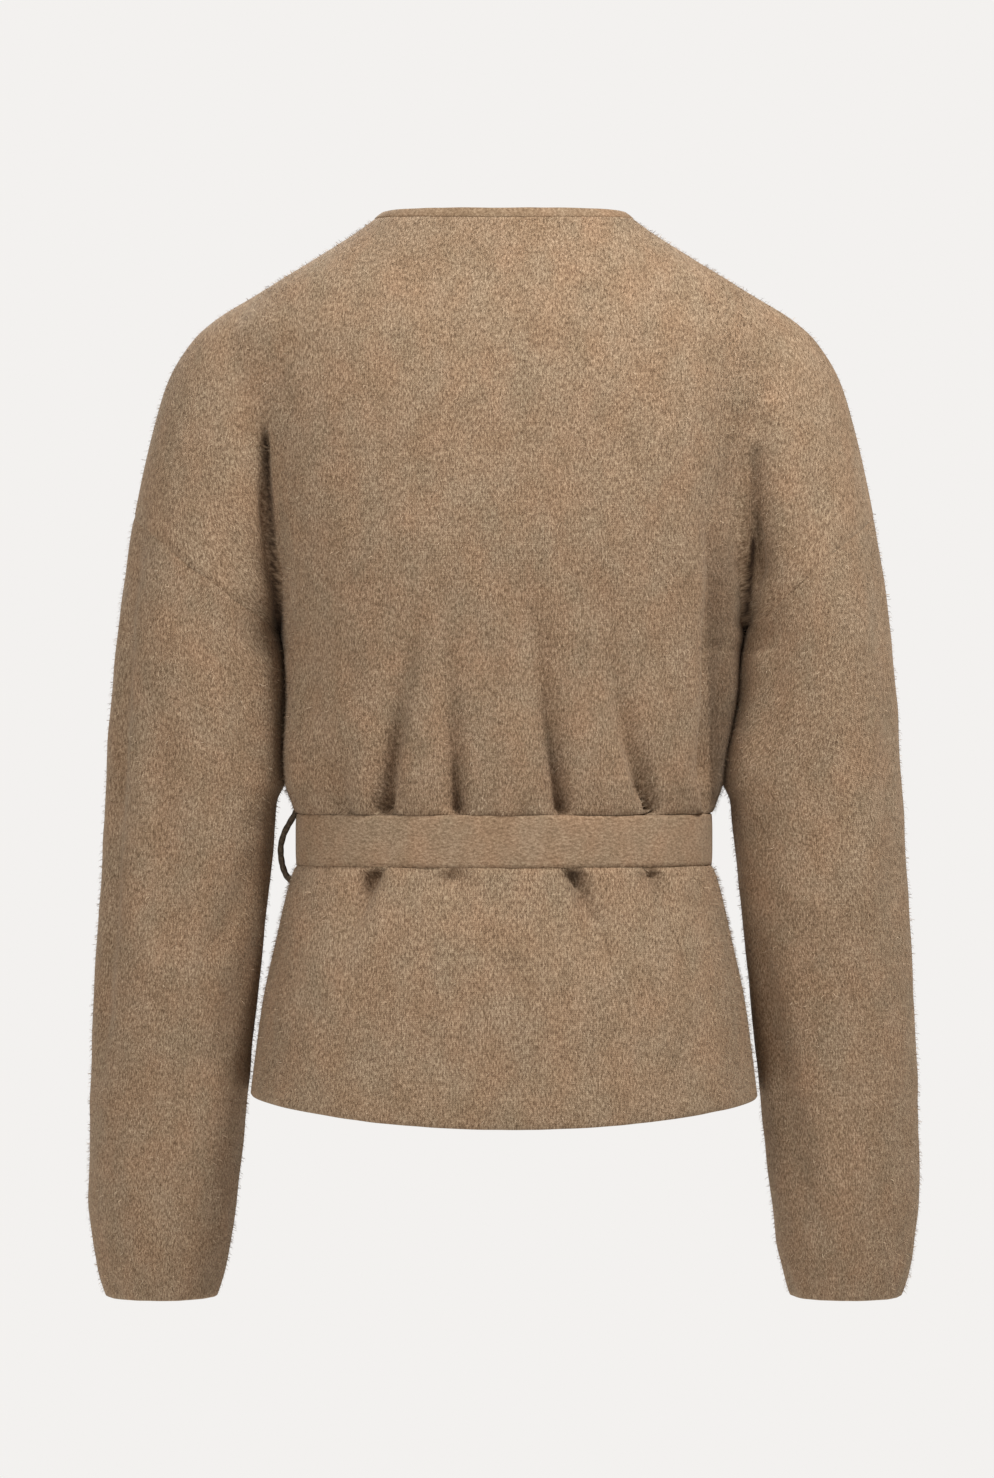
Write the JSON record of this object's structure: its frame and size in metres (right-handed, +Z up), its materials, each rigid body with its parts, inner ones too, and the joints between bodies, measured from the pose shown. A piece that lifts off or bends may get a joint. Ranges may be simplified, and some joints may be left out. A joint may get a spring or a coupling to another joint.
{
  "type": "cardigan",
  "caption": "Hollow wrap cardigan in brushed knit, in its worn shape, with dropped shoulders, wide sleeves, a narrow neck band and a tied belt.",
  "frame": {"origin": "middle of the neck opening, level with the side neck points, where the shoulders carry the cardigan", "axes": "+Z up, +Y towards the wearer's back, +X towards the wearer's left; the fronts face -Y"},
  "size_m": [0.5268, 0.2321, 0.6838],
  "materials": {
    "brushed_knit": "warm brown melange knit, brushed to a soft nap",
    "belt_knit": "the same knit, cut flat and less brushed",
    "band_knit": "narrow close-knit band"
  },
  "bodies": {
    "root": {"back": "brushed_knit", "front_right": "brushed_knit", "front_left": "brushed_knit", "sleeve_left": "brushed_knit", "sleeve_right": "brushed_knit", "neck_band": "band_knit", "belt": "belt_knit", "belt_knot": "belt_knit", "belt_tail_upper": "belt_knit", "belt_tail_under": "belt_knit", "belt_loop": "belt_knit"}
  },
  "joints": []
}
